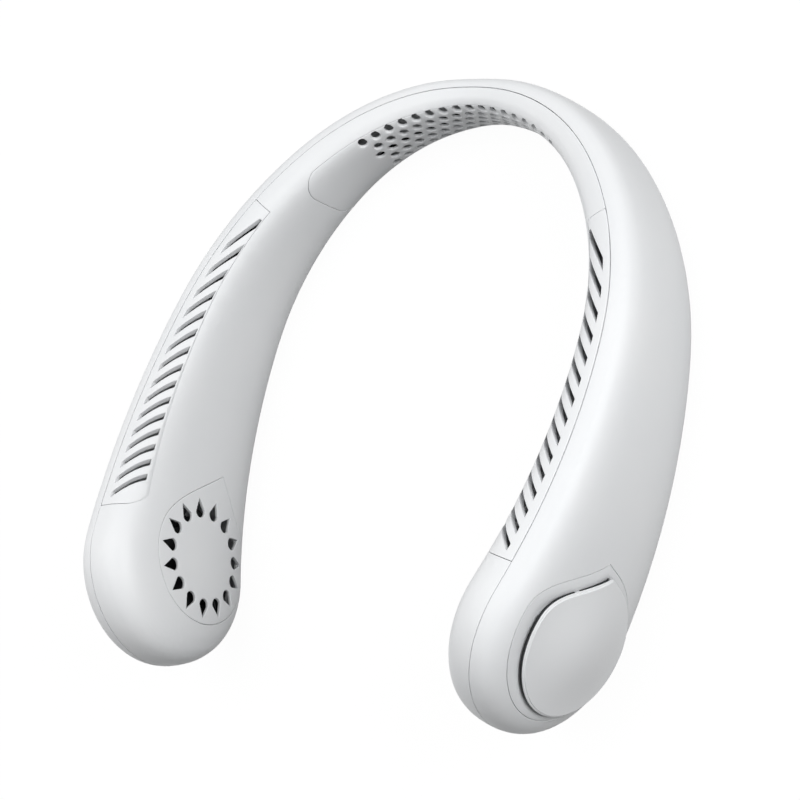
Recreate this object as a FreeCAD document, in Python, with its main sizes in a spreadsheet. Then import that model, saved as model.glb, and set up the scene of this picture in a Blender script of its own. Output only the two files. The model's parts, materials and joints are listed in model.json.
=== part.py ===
import FreeCAD, Part
import Sketcher
import math
import os

# Bladeless neck fan: a hollow collar that opens towards the front, with a blower in a round pod at each end.
# Frame: +Z up, the side the air leaves, +Y towards the back of the neck, +X towards the right arm.
# The collar lies flat on z = 0 and the middle of its outline is on the Z axis.

Vector = FreeCAD.Vector
ORIGIN = Vector(0, 0, 0)
ACROSS = Vector(1, 0, 0)
UP = Vector(0, 0, 1)
HALF_TURN = 180
FULL_TURN = 360
CENTRE_POINT = 3
ROOT_POINT = (-1, 1)
SIDES = ("right", "left")

doc = FreeCAD.newDocument("neck_fan")
sheet = doc.addObject("Spreadsheet::Sheet", "sizes")

SIZES = (
    # centre line of the collar, seen from above, from the back to a pod: three tangent bends
    ("back_bend_radius", "78"),
    ("back_bend_angle", "46.5"),
    ("shoulder_bend_radius", "101"),
    ("shoulder_bend_angle", "36"),
    ("arm_bend_radius", "215"),
    ("arm_bend_angle", "23"),
    # section of the collar, its height and thickness at the back and at the pods
    ("back_height", "22"),
    ("pod_height", "62"),
    ("rise_angle", "15.5"),
    ("back_thickness", "11.5"),
    ("pod_thickness", "26"),
    ("thickness_growth_share", "1.3"),
    ("corner_share", "0.815"),
    ("wall", "2"),
    # how the casing comes apart
    ("seam_share", "0.21"),
    ("seam_gap", "0.2"),
    ("fit_clearance", "0.15"),
    ("run_clearance", "0.5"),
    ("overrun", "3"),
    ("cover_depth", "1.1"),
    # slotted outlet grilles on top of the arms
    ("grille_start", "85"),
    ("grille_length", "112"),
    ("grille_inner_start_share", "0.62"),
    ("grille_inner_end_share", "0.85"),
    ("grille_depth", "1.8"),
    ("grille_corner", "4"),
    ("grille_drop", "9"),
    ("slot_count", "15"),
    ("slot_width", "1.8"),
    ("slot_pitch", "4.15"),
    ("slot_angle", "46.5"),
    ("slot_band_start", "89"),
    ("slot_band_length", "105.5"),
    ("slot_first", "97"),
    ("slot_middle_share", "0.33"),
    ("slot_inner_start_share", "0.60"),
    ("slot_inner_end_share", "0.785"),
    ("slot_outer_share", "0.05"),
    # perforated panel at the back of the neck
    ("neck_panel_reach", "73"),
    ("neck_panel_margin", "1.5"),
    ("neck_deep_share", "0.2"),
    ("neck_panel_corner", "7"),
    ("neck_hole_radius", "1.6"),
    ("neck_hole_pitch", "5.6"),
    ("neck_hole_count", "17"),
    ("neck_row_count", "5"),
    ("neck_low_row_share", "0.19"),
    ("neck_high_row_share", "0.87"),
    ("neck_window_rim", "0.8"),
    ("neck_window_corner", "1.5"),
    # inlet cover on the inner face of each pod
    ("inlet_radius", "21.6"),
    ("inlet_tip_reach", "29.4"),
    ("inlet_tip_angle", "192"),
    ("inlet_flank_angle", "118"),
    ("inlet_back_offset", "3.2"),
    ("inlet_drop", "6"),
    ("inlet_mouth_radius", "19.6"),
    ("inlet_ring_radius", "15.5"),
    ("inlet_hole_count", "15"),
    ("inlet_hole_radius", "2.1"),
    ("inlet_hole_tip", "4.4"),
    # raised cap and the intake dish below it, on the outer face of each pod
    ("cap_radius", "21.4"),
    ("cap_tip_reach", "22.2"),
    ("cap_tip_angle", "188"),
    ("cap_flank_angle", "105"),
    ("cap_back_offset", "0.6"),
    ("cap_rise", "1.6"),
    ("cap_thickness", "1.8"),
    ("cap_tip_round", "1"),
    ("cap_round", "0.6"),
    ("cap_leg_radius", "1.4"),
    ("cap_leg_count", "3"),
    ("cap_leg_circle", "11.6"),
    ("flank_hook_angle", "45"),
    ("dish_margin", "2.8"),
    ("dish_rim", "3.4"),
    ("dish_depth", "4"),
    ("dish_wall", "1.2"),
    ("dish_groove", "1.6"),
    ("vent_radius", "1.8"),
    ("vent_circle", "15"),
    ("vent_count", "16"),
    # motor in the middle of each blower, stacked inwards from the dish
    ("mount_radius", "13"),
    ("mount_plate", "1.2"),
    ("mount_tube_radius", "3"),
    ("mount_tube_length", "6.6"),
    ("motor_screw_circle", "11.6"),
    ("motor_screw_count", "3"),
    ("motor_screw_radius", "0.6"),
    ("motor_screw_head_radius", "1.1"),
    ("motor_screw_head", "0.7"),
    ("board_ring_radius", "10"),
    ("board_ring_thickness", "1"),
    ("bush_radius", "2"),
    ("bush_bore", "0.8"),
    ("shaft_radius", "0.75"),
    ("shaft_end_gap", "0.8"),
    ("yoke_radius", "4.2"),
    ("stator_radius", "7.4"),
    ("stator_length", "4"),
    ("pole_count", "6"),
    ("pole_width", "1.5"),
    ("shoe_width", "5.2"),
    ("shoe_depth", "0.9"),
    ("coil_width", "3"),
    ("coil_overhang", "0.7"),
    ("magnet_bore", "7.8"),
    ("magnet_thickness", "0.8"),
    ("can_wall", "0.6"),
    ("can_base", "0.8"),
    ("can_length", "7"),
    # impeller, a double-sided blower wheel
    ("hub_wall", "1.2"),
    ("hub_length", "6"),
    ("wheel_radius", "22"),
    ("wheel_eye_radius", "15.5"),
    ("wheel_width", "12.5"),
    ("web_thickness", "1.2"),
    ("blade_count", "28"),
    ("blade_thickness", "0.7"),
    ("blade_sweep_angle", "14"),
    ("shroud_width", "1.4"),
    ("shroud_thickness", "0.8"),
    # battery in each arm, below the air duct
    ("battery_middle", "138"),
    ("battery_length", "36"),
    ("battery_thickness", "8.5"),
    ("battery_height", "15.6"),
    ("battery_round", "1.5"),
    ("cradle_wall", "0.8"),
    ("cradle_level", "5.2"),
    ("cradle_side", "6"),
    ("duct_start", "95"),
    ("duct_length", "68"),
    ("duct_thickness", "1.2"),
    ("duct_level", "24"),
    # control board, switch, lights and charging socket in the left arm
    ("board_middle", "174"),
    ("board_length", "20"),
    ("board_height", "20"),
    ("board_thickness", "1.2"),
    ("board_level", "5"),
    ("button_level", "20"),
    ("button_radius", "4.5"),
    ("button_proud", "0.6"),
    ("button_flange_radius", "5.6"),
    ("button_flange", "0.8"),
    ("button_stem_radius", "1.5"),
    ("button_travel", "0.5"),
    ("switch_side", "6"),
    ("switch_height", "3.5"),
    ("plunger_radius", "1.6"),
    ("plunger_height", "0.8"),
    ("light_count", "4"),
    ("light_pitch", "3"),
    ("light_start", "10"),
    ("light_radius", "0.7"),
    ("light_bar_height", "3"),
    ("light_bar_depth", "1.2"),
    ("socket_width", "8.94"),
    ("socket_thickness", "3.26"),
    ("socket_depth", "7.3"),
    ("socket_skin", "0.3"),
    ("socket_level", "0.9"),
    ("socket_tongue_width", "6.69"),
    ("socket_tongue_thickness", "0.7"),
    ("socket_tongue_length", "4.5"),
    # wiring
    ("harness_radius", "1.1"),
    ("plug_length", "6"),
    ("plug_width", "4.4"),
    ("plug_height", "10"),
    ("plug_gap", "0.4"),
    ("lead_radius", "0.7"),
    ("lead_bend_radius", "4.2"),
    ("lead_run", "36"),
    ("lead_drop", "20"),
    # screws that close the casing, hidden under the covers
    ("screw_radius", "0.8"),
    ("screw_head_radius", "1.8"),
    ("screw_head", "1.2"),
    ("screw_bite", "5"),
    ("boss_radius", "2.7"),
    ("neck_screw_along", "62"),
    ("neck_screw_level", "14.5"),
    ("pod_screw_back", "26"),
    ("pod_screw_drop", "9"),
)

for number, (alias, value) in enumerate(SIZES, 1):
    sheet.set("A%d" % number, alias)
    sheet.set("B%d" % number, value)
    sheet.setAlias("B%d" % number, alias)
doc.recompute()


def size(alias):
    return float(sheet.get(alias))


def count(alias):
    return int(round(size(alias)))


# Lengths that several pieces use
OVERRUN = size("overrun")
WALL = size("wall")
FIT = size("fit_clearance")
RUN = size("run_clearance")
POD_RADIUS = size("pod_height") / 2
POD_REACH = size("pod_thickness") / 2

BENDS = tuple(
    (size(name + "_bend_radius"), math.radians(size(name + "_bend_angle")))
    for name in ("back", "shoulder", "arm")
)
POD_ALONG = sum(radius * angle for radius, angle in BENDS)
RISE = math.radians(size("rise_angle"))
RISE_END = POD_ALONG - POD_RADIUS * math.sin(RISE)
RISE_HEIGHT = POD_RADIUS * (1 + math.cos(RISE)) - size("back_height")
RISE_POWER = math.tan(RISE) * RISE_END / RISE_HEIGHT


def plan(along):
    """Centre line at a signed distance from the back: point, outward and onward directions."""
    left = abs(along)
    turned = 0.0
    x = 0.0
    y = 0.0
    for radius, angle in BENDS:
        turn = min(left / radius, angle)
        x += radius * (math.sin(turned + turn) - math.sin(turned))
        y += radius * (math.cos(turned + turn) - math.cos(turned))
        turned += turn
        left = max(left - radius * turn, 0.0)
    x += left * math.cos(turned)
    y -= left * math.sin(turned)
    hand = -1 if along < 0 else 1
    point = Vector(hand * x, y, 0)
    outward = Vector(hand * math.sin(turned), math.cos(turned), 0)
    onward = Vector(math.cos(turned), -hand * math.sin(turned), 0)
    return point, outward, onward


def height(along):
    """Height of the collar, rising in a power curve and then round the pod."""
    distance = abs(along)
    if distance <= RISE_END:
        return size("back_height") + RISE_HEIGHT * (distance / RISE_END) ** RISE_POWER
    return POD_RADIUS + math.sqrt(max(POD_RADIUS ** 2 - (distance - POD_ALONG) ** 2, 0.0))


def thickness(along):
    share = min(abs(along) / POD_ALONG, 1.0)
    growth = size("thickness_growth_share")
    grown = growth * share + (1 - growth) * share ** 2
    return size("back_thickness") + (size("pod_thickness") - size("back_thickness")) * grown


def front_edge():
    """Lowest y of the rounded pod end, measured on its outline seen from above."""
    point, outward, onward = plan(POD_ALONG)
    quarter = Part.BezierCurve()
    corner = size("corner_share")
    side = outward * -POD_REACH
    end = onward * POD_RADIUS
    quarter.setPoles([point + side, point + side + end * corner, point + side * corner + end, point + end])
    outer = Part.BezierCurve()
    side = outward * POD_REACH
    outer.setPoles([point + side, point + side + end * corner, point + side * corner + end, point + end])
    lowest = [c.toShape().optimalBoundingBox().YMin for c in (quarter, outer)]
    return min(lowest)


# The middle of the outline moves to the Z axis
MIDDLE = Vector(0, (front_edge() + size("back_thickness") / 2) / 2, 0)


def spot(along, out=0.0, level=0.0):
    """A point of the collar: distance along it, distance outwards and height."""
    point, outward, onward = plan(along)
    return point - MIDDLE + outward * out + UP * level


def frame(along, out=0.0, level=0.0):
    """Placement with X onward along the collar, Y outward and Z up."""
    point, outward, onward = plan(along)
    turn = FreeCAD.Rotation(onward, outward, UP, "ZXY")
    return FreeCAD.Placement(spot(along, out, level), turn)


def pod_frame(side):
    """Placement at a pod's middle with X up and Z outward along the blower's axis."""
    along = POD_ALONG if side == "right" else -POD_ALONG
    point, outward, onward = plan(along)
    turn = FreeCAD.Rotation(UP, onward, outward, "ZXY")
    return FreeCAD.Placement(spot(along, 0.0, POD_RADIUS), turn)


def quadrant(middle, reach, rise):
    """Quarter of the collar's section, from its side to its top or bottom."""
    corner = size("corner_share")
    curve = Part.BezierCurve()
    curve.setPoles([middle + reach, middle + reach + rise * corner, middle + reach * corner + rise, middle + rise])
    return curve


def backwards(curve):
    turned = Part.BezierCurve()
    turned.setPoles(curve.getPoles()[::-1])
    return turned


def edge(curve):
    return curve.toBSpline().toShape()


def section_axes(along, inset):
    middle = spot(along, 0.0, height(along) / 2)
    outward = plan(along)[1]
    return middle, outward * (thickness(along) / 2 - inset), UP * (height(along) / 2 - inset)


def section(along, inset):
    middle, reach, rise = section_axes(along, inset)
    parts = (
        quadrant(middle, reach, rise),
        backwards(quadrant(middle, -reach, rise)),
        quadrant(middle, -reach, -rise),
        backwards(quadrant(middle, reach, -rise)),
    )
    return Part.Wire([edge(curve) for curve in parts])


ARM_STATIONS = 14
SHOULDER_STATIONS = 3
STATIONS = [RISE_END * step / ARM_STATIONS for step in range(ARM_STATIONS + 1)]
STATIONS += [
    POD_ALONG - POD_RADIUS * math.sin(RISE * step / SHOULDER_STATIONS)
    for step in reversed(range(SHOULDER_STATIONS))
]
STATIONS = [-along for along in reversed(STATIONS[1:])] + STATIONS


def mirrored(shape):
    return shape.mirror(ORIGIN, ACROSS)


def collar(inset):
    """The collar's whole form, drawn in from its surface: a loft between the pods and two round ends."""
    arms = Part.makeLoft([section(along, inset) for along in STATIONS], True, False)
    middle, reach, rise = section_axes(POD_ALONG, inset)
    profile = Part.Wire([
        edge(quadrant(middle, reach, rise)),
        edge(backwards(quadrant(middle, -reach, rise))),
        Part.makeLine(middle - reach, middle + reach),
    ])
    end = Part.Face(profile).revolve(middle, reach, HALF_TURN)
    return arms.fuse([end, mirrored(end)])


HALVINGS = 40


def surface_reach(along, level, inset=0.0):
    """How far the collar's side lies from its centre line at a height."""
    half = height(along) / 2
    target = min(abs(level - half) / (half - inset), 1.0)
    corner = size("corner_share")
    low, high = 0.0, 1.0
    for step in range(HALVINGS):
        t = (low + high) / 2
        risen = 3 * (1 - t) ** 2 * t * corner + 3 * (1 - t) * t * t + t ** 3
        if risen < target:
            low = t
        else:
            high = t
    share = (1 - t) ** 3 + 3 * (1 - t) ** 2 * t + 3 * (1 - t) * t * t * corner
    return share * (thickness(along) / 2 - inset)


def standing(outline, low, high):
    """A straight-sided solid over a closed outline in plan, between two heights."""
    solid = Part.Face(outline).extrude(UP * (high - low))
    solid.translate(UP * low)
    return solid


def polyline(points):
    return Part.makePolygon(list(points) + [points[0]])


def smooth(points):
    curve = Part.BSplineCurve()
    curve.interpolate(points)
    return curve.toShape()


STRIP_STEPS = 10
INNER_SIDE = (-1.0, -1.0)
OUTER_SIDE = (1.0, 1.0)


def strip_stops(start, end, shares):
    """Stops along an arm, each with a share of its half thickness that changes evenly from end to end."""
    first, last = shares
    parts = [step / STRIP_STEPS for step in range(STRIP_STEPS + 1)]
    return [(start + (end - start) * part, first + (last - first) * part) for part in parts]


def share_line(start, end, shares):
    """Points along an arm at shares of its half thickness, outward positive."""
    return [spot(along, share * thickness(along) / 2) for along, share in strip_stops(start, end, shares)]


def strip(start, end, inner_shares, outer_shares):
    """Plan outline of a strip along the right arm."""
    outer = share_line(start, end, outer_shares)
    inner = share_line(start, end, inner_shares)
    return Part.Wire([
        smooth(outer),
        Part.makeLine(outer[-1], inner[-1]),
        smooth(inner[::-1]),
        Part.makeLine(inner[0], outer[0]),
    ])


def outside_of_seam(offset):
    """Everything outside the parting line, a standing wall through the collar."""
    far = POD_ALONG
    tip = POD_ALONG + POD_RADIUS + OVERRUN
    stops = [-tip] + STATIONS + [tip]
    line = [spot(along, size("seam_share") * thickness(along) / 2 + offset) for along in stops]
    corners = (
        line[-1],
        Vector(far, line[-1].y, 0),
        Vector(far, far, 0),
        Vector(-far, far, 0),
        Vector(-far, line[0].y, 0),
        line[0],
    )
    sides = [Part.makeLine(a, b) for a, b in zip(corners, corners[1:])]
    return standing(Part.Wire([smooth(line)] + sides), -OVERRUN, size("pod_height") + OVERRUN)


def neck_block(reach, margin, corner):
    """Block on the inner side of the back, with rounded ends, that the neck panel is cut from."""
    steps = 6
    frames = []
    for step in range(-steps, steps + 1):
        along = reach * step / steps
        low = spot(along, -thickness(along) / 2 - OVERRUN, margin)
        deep = spot(along, -size("neck_deep_share") * thickness(along) / 2, margin)
        rise = UP * (height(along) - 2 * margin)
        frames.append(polyline([low, deep, deep + rise, low + rise]))
    block = Part.makeLoft(frames, True, False)
    corners = [
        item for item in block.Edges
        if item.BoundBox.ZLength < margin / 2 and item.Length < thickness(reach) + OVERRUN
    ]
    return block.makeFillet(corner, corners)


def top_block(start, end, inward, outward, corner):
    """Block over the top of the right arm, following its slope, that a grille and its seat are cut from."""
    inner_shares = (-size("grille_inner_start_share"), -size("grille_inner_end_share"))
    low = UP * -size("grille_drop")
    high = UP * OVERRUN
    frames = []
    for along, share in strip_stops(start, end, inner_shares):
        half = thickness(along) / 2
        inner = spot(along, share * half + inward, height(along))
        outer = spot(along, size("seam_share") * half + outward, height(along))
        frames.append(polyline([inner + low, outer + low, outer + high, inner + high]))
    block = Part.makeLoft(frames, True, False)
    upright = [item for item in block.Edges if item.BoundBox.DiagonalLength - item.BoundBox.ZLength < FIT]
    pod_corner = min(upright, key=lambda item: item.CenterOfMass.distanceToPoint(inner))
    return block.makeFillet(corner, [pod_corner])


def drop(name, spread=0.0):
    """Drop-shaped outline on a pod's face: a circle drawn out to a tip that points along the arm."""
    radius = size(name + "_radius") + spread
    reach = size(name + "_tip_reach") + spread
    tip_turn = math.radians(size(name + "_tip_angle"))
    flank_turn = math.radians(size(name + "_flank_angle"))
    hook = tip_turn + math.radians(size("flank_hook_angle"))
    back = size(name + "_back_offset")
    down = size("inlet_drop") if name == "inlet" else 0.0

    def at(distance, turn):
        return Vector(distance * math.sin(turn) - down, distance * math.cos(turn) - back, 0)

    def heading(turn):
        return Vector(math.sin(turn), math.cos(turn), 0)

    tip = at(reach, tip_turn)
    meet_turn = tip_turn + math.acos(min(radius / reach, 1.0))
    meet = at(radius, meet_turn)
    start = at(radius, flank_turn)
    leaving_share = 0.42
    arriving_share = 0.51
    flank = Part.BezierCurve()
    flank.setPoles([
        start,
        start + heading(flank_turn + math.pi / 2) * (radius * leaving_share),
        tip - heading(hook) * (radius * arriving_share),
        tip,
    ])
    far_turn = (meet_turn + flank_turn + 2 * math.pi) / 2
    round_side = Part.Arc(meet, at(radius, far_turn), start).toShape()
    return Part.Wire([edge(flank), Part.makeLine(tip, meet), round_side])


def pod_plug(outline, low, high):
    """A straight-sided solid over a pod-face outline, between two distances from the pod's middle."""
    solid = Part.Face(outline).extrude(UP * (high - low))
    solid.translate(UP * low)
    return solid


def on_right_pod(shape):
    shape.Placement = pod_frame("right").multiply(shape.Placement)
    return shape


def circle_of(number, radius, start=0.0):
    """Points spaced evenly round a circle in the XY plane."""
    turns = [start + 2 * math.pi * step / number for step in range(number)]
    return [Vector(radius * math.cos(turn), radius * math.sin(turn), 0) for turn in turns]


def rods(centres, radius, low, high, axis=UP):
    return [Part.makeCylinder(radius, high - low, centre + axis * low, axis) for centre in centres]


nodes = {}


def piece(name, shape):
    """A sub-part whose form is free, kept under its own label."""
    item = doc.addObject("Part::Feature", name)
    item.Label = name
    item.Shape = shape
    nodes[name] = item
    return item


def solid_of(shape):
    return shape.Solids[0] if len(shape.Solids) == 1 else shape


def pair(name, shape):
    """A right-hand piece and its mirror image in the left arm."""
    right = piece(name + "_right", shape)
    left = doc.addObject("Part::Mirroring", name + "_left")
    left.Label = name + "_left"
    left.Source = right
    left.Base = ORIGIN
    left.Normal = ACROSS
    nodes[name + "_left"] = left


def bound(kind, name, **formulas):
    """A primitive whose sizes follow the sheet."""
    item = doc.addObject(kind, name)
    item.Label = name
    for prop, formula in formulas.items():
        item.setExpression(prop, formula)
    return item


def ring_body(name, outer, inner, depth):
    """A ring padded from a sketch of two circles, its radii and depth taken from the sheet."""
    body = doc.addObject("PartDesign::Body", name)
    body.Label = name
    sketch = body.newObject("Sketcher::SketchObject", name + "_outline")
    flat = [item for item in body.Origin.OriginFeatures if item.Role == "XY_Plane"][0]
    sketch.AttachmentSupport = [(flat, "")]
    sketch.MapMode = "FlatFace"
    for label, alias in (("outer", outer), ("inner", inner)):
        circle = sketch.addGeometry(Part.Circle(ORIGIN, UP, size(alias)), False)
        sketch.addConstraint(Sketcher.Constraint("Coincident", circle, CENTRE_POINT, *ROOT_POINT))
        radius = sketch.addConstraint(Sketcher.Constraint("Radius", circle, size(alias)))
        sketch.renameConstraint(radius, label)
        sketch.setExpression("Constraints." + label, "sizes." + alias)
    pad = body.newObject("PartDesign::Pad", name + "_pad")
    pad.Profile = sketch
    pad.setExpression("Length", "sizes." + depth)
    nodes[name] = body
    return body


def place(item, side, level):
    """Sets a piece on the blower's axis, at a distance outwards from the pod's middle."""
    base = pod_frame(side)
    item.Placement = base.multiply(FreeCAD.Placement(UP * level, FreeCAD.Rotation()))


# The collar's form and its walls
whole = collar(0.0)
seat = collar(size("cover_depth"))
hollow = collar(WALL)
room = collar(WALL + FIT)
casing = whole.cut(hollow)

# Levels along the blower's axis, outwards from the pod's middle
DISH_FLOOR = POD_REACH - size("dish_depth")
DISH_UNDER = DISH_FLOOR - size("dish_wall")
MOUNT_UNDER = DISH_UNDER - size("mount_plate")
RING_UNDER = MOUNT_UNDER - size("board_ring_thickness")
CAN_RIM = RING_UNDER - RUN
CAN_BASE = CAN_RIM - size("can_length")
CAN_RADIUS = size("magnet_bore") + size("magnet_thickness") + size("can_wall")
CAP_TOP = POD_REACH + size("cap_rise")
CAP_UNDER = CAP_TOP - size("cap_thickness")

# Openings and seats cut in the two casing shells
grille_end = size("grille_start") + size("grille_length")
grille_hole = top_block(size("grille_start"), grille_end, 0.0, OVERRUN, size("grille_corner"))
inlet_seat = on_right_pod(pod_plug(drop("inlet"), -POD_REACH - OVERRUN, 0.0))
inlet_seat = inlet_seat.cut(seat)
inlet_middle = Vector(-size("inlet_drop"), -size("inlet_back_offset"), 0)
inlet_mouth = on_right_pod(
    rods([inlet_middle], size("inlet_mouth_radius"), -POD_REACH - OVERRUN, -POD_REACH / 2)[0])
neck_seat = neck_block(size("neck_panel_reach"), size("neck_panel_margin"), size("neck_panel_corner"))
neck_seat = neck_seat.cut(seat)
window_reach = size("neck_hole_pitch") * (size("neck_hole_count") / 2) + size("neck_window_rim")
neck_window = neck_block(window_reach, size("neck_panel_margin") + size("neck_window_rim"),
                         size("neck_window_corner"))
dish_hole = on_right_pod(
    pod_plug(drop("cap", size("dish_margin") + FIT), 0.0, CAP_TOP + OVERRUN))

# Screws that join the shells, as (distance along, height)
screw_spots = [
    (size("neck_screw_along"), size("neck_screw_level")),
    (POD_ALONG - size("pod_screw_back"), POD_RADIUS - size("pod_screw_drop")),
]
screw_spots += [(-along, level) for along, level in screw_spots]


def screw_axis(along, level):
    """Where a screw's head rests, its direction, and its length to the outer shell's wall."""
    outward = plan(along)[1]
    inner = surface_reach(along, level, size("cover_depth"))
    outer = surface_reach(along, level, WALL)
    return spot(along, -inner, level), outward, inner + outer


outer_bosses, inner_bosses, outer_pilots, inner_pilots, screws = [], [], [], [], []
for along, level in screw_spots:
    head, outward, length = screw_axis(along, level)
    seam = size("seam_share") * thickness(along) / 2 + surface_reach(along, level, size("cover_depth"))
    head_depth = size("screw_head") + FIT
    outer_bosses += rods([head], size("boss_radius"), seam + size("seam_gap"), length + WALL / 2, outward)
    inner_bosses += rods([head], size("boss_radius"), 0.0, seam, outward)
    reach = seam + size("screw_bite")
    outer_pilots += rods([head], size("screw_radius"), seam, reach, outward)
    inner_pilots += rods([head], size("screw_radius") + FIT, 0.0, seam + OVERRUN, outward)
    inner_pilots += rods([head], size("screw_head_radius") + FIT, -OVERRUN, head_depth, outward)
    shank = rods([head], size("screw_radius"), FIT, reach, outward)[0]
    screws.append(shank.fuse(rods([head], size("screw_head_radius"), FIT, head_depth, outward)))
piece("case_screws", Part.makeCompound([solid_of(screw) for screw in screws]))

# Control side: button, lights and charging socket in the left arm
CONTROL = -size("board_middle")
button_side = surface_reach(CONTROL, size("button_level"))
button_inside = surface_reach(CONTROL, size("button_level") - size("button_flange_radius"), WALL)
control_out = plan(CONTROL)[1]
button_axis = spot(CONTROL, 0.0, size("button_level"))
button_hole = rods(
    [button_axis], size("button_radius") + RUN, button_inside - OVERRUN, button_side + OVERRUN, control_out)[0]
light_stops = [CONTROL + size("light_start") + size("light_pitch") * step for step in range(count("light_count"))]
light_holes = []
light_pips = []
for along in light_stops:
    out = plan(along)[1]
    base = spot(along, 0.0, size("button_level"))
    outer = surface_reach(along, size("button_level"))
    light_holes += rods([base], size("light_radius") + FIT / 3, outer - WALL - OVERRUN, outer + OVERRUN, out)
    light_pips += rods([base], size("light_radius"), outer - WALL - size("light_bar_depth"), outer + OVERRUN, out)


def socket_block(spread, low, high):
    """A stadium-shaped block on the inner face of the board, for the socket and its opening."""
    half = size("socket_thickness") / 2 + spread
    run = size("socket_width") - size("socket_thickness")
    out = -size("board_thickness") - size("socket_thickness") / 2
    base = frame(CONTROL, out, low)
    ends = [Part.makeCylinder(half, high - low, Vector(x, 0, 0)) for x in (-run / 2, run / 2)]
    bar = Part.makeBox(run, 2 * half, high - low, Vector(-run / 2, -half, 0))
    block = bar.fuse(ends).removeSplitter()
    block.Placement = base.multiply(block.Placement)
    return block


socket_top = size("socket_level") + size("socket_depth")
socket_hole = socket_block(FIT, -OVERRUN, socket_top + FIT)

# The two casing shells
outer_wall = casing.common(outside_of_seam(size("seam_gap")))
outer_wall = outer_wall.fuse([boss.common(whole) for boss in outer_bosses])
outer_wall = outer_wall.cut(outer_pilots + [dish_hole, mirrored(dish_hole), button_hole] + light_holes)
piece("outer_shell", solid_of(outer_wall))

inner_wall = casing.cut(outside_of_seam(0.0))
inner_wall = inner_wall.fuse([boss.common(whole) for boss in inner_bosses])
inner_wall = inner_wall.cut([
    neck_seat, inlet_seat, mirrored(inlet_seat), grille_hole, mirrored(grille_hole)])
inner_wall = inner_wall.cut(inner_pilots + [neck_window, inlet_mouth, mirrored(inlet_mouth), socket_hole])
piece("inner_shell", solid_of(inner_wall))

# Slotted grilles: parallel slots across the strip, trimmed to a band inside its edges
grille_skin = whole.cut(collar(size("grille_depth")))
grille_form = top_block(size("grille_start") + FIT, grille_end - FIT, FIT, -FIT, size("grille_corner") - FIT)
slot_inner_shares = (-size("slot_inner_start_share"), -size("slot_inner_end_share"))
slot_outer_shares = (-size("slot_outer_share"), -size("slot_outer_share"))
slot_band = standing(
    strip(size("slot_band_start"), size("slot_band_start") + size("slot_band_length"), slot_inner_shares,
          slot_outer_shares),
    0.0, size("pod_height") + OVERRUN)
slot_turn = math.radians(size("slot_angle"))
slot_line = Vector(math.cos(slot_turn), -math.sin(slot_turn), 0)
slot_step = Vector(-math.sin(slot_turn), -math.cos(slot_turn), 0)
slot_home = spot(size("slot_first"), -size("slot_middle_share") * thickness(size("slot_first")) / 2)
slots = []
for number in range(count("slot_count")):
    middle = slot_home + slot_step * (size("slot_pitch") * number)
    run = slot_line * size("grille_length")
    half = slot_step * (size("slot_width") / 2)
    bar = polyline([middle - run - half, middle + run - half, middle + run + half, middle - run + half])
    slots.append(standing(bar, -OVERRUN, size("pod_height") + 2 * OVERRUN))
slot_tools = slot_band.common(Part.makeCompound(slots))
pair("grille", solid_of(grille_skin.common(grille_form).cut(slot_tools)))

# Perforated neck panel: staggered rows of round holes
neck_form = neck_block(size("neck_panel_reach") - FIT, size("neck_panel_margin") + FIT,
                       size("neck_panel_corner") - FIT)
neck_panel = whole.cut(seat).common(neck_form)
neck_holes = []
rows = count("neck_row_count")
row_step = (size("neck_high_row_share") - size("neck_low_row_share")) / (rows - 1)
for row in range(rows):
    holes = count("neck_hole_count") - (rows - 1 - row) % 2
    share = size("neck_low_row_share") + row_step * row
    for hole in range(holes):
        along = size("neck_hole_pitch") * (hole - (holes - 1) / 2)
        base = spot(along, 0.0, share * height(along))
        reach = thickness(along) / 2
        neck_holes += rods([base], size("neck_hole_radius"), -reach - OVERRUN, -reach / 2, plan(along)[1])
piece("neck_panel", solid_of(neck_panel.cut(neck_holes)))

# Inlet covers with a ring of drop-shaped holes, each set on the ledge round the shell's mouth
cover = on_right_pod(pod_plug(drop("inlet", -FIT), -POD_REACH - OVERRUN, 0.0))
cover = cover.common(whole).cut(seat)
hole_profile = []
for centre in circle_of(count("inlet_hole_count"), size("inlet_ring_radius"), math.pi / 2):
    outwards = Vector(centre).normalize()
    beside = UP.cross(outwards) * size("inlet_hole_radius")
    tip = centre + outwards * size("inlet_hole_tip")
    inner = centre - outwards * size("inlet_hole_radius")
    hole = Part.Wire([
        Part.Arc(centre + beside, inner, centre - beside).toShape(),
        Part.makeLine(centre - beside, tip),
        Part.makeLine(tip, centre + beside),
    ])
    hole.translate(inlet_middle)
    hole_profile.append(on_right_pod(pod_plug(hole, -POD_REACH - OVERRUN, 0.0)))
pair("inlet_cover", solid_of(cover.cut(hole_profile)))

# Intake dish below the cap: a rim flush with the casing round a pocket with vents in its floor
dish = pod_plug(drop("cap", size("dish_margin")), DISH_UNDER, CAP_TOP)
dish = dish.cut(pod_plug(drop("cap", -size("dish_rim")), DISH_FLOOR, CAP_TOP + OVERRUN))
groove = pod_plug(drop("cap", size("dish_margin") - size("dish_wall")), DISH_UNDER - OVERRUN,
                  DISH_UNDER + size("dish_groove"))
groove = groove.cut(pod_plug(drop("cap", size("dish_wall") - size("dish_rim")), DISH_UNDER - 2 * OVERRUN, CAP_TOP))
dish = dish.cut(groove)
dish = dish.cut(rods(circle_of(count("vent_count"), size("vent_circle")), size("vent_radius"),
                     DISH_UNDER - OVERRUN, DISH_FLOOR + OVERRUN))
motor_holes = circle_of(count("motor_screw_count"), size("motor_screw_circle"))
dish = dish.cut(rods(motor_holes, size("motor_screw_radius"), DISH_UNDER - OVERRUN, DISH_FLOOR))
pair("intake_dish", solid_of(on_right_pod(dish).common(whole)))

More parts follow.
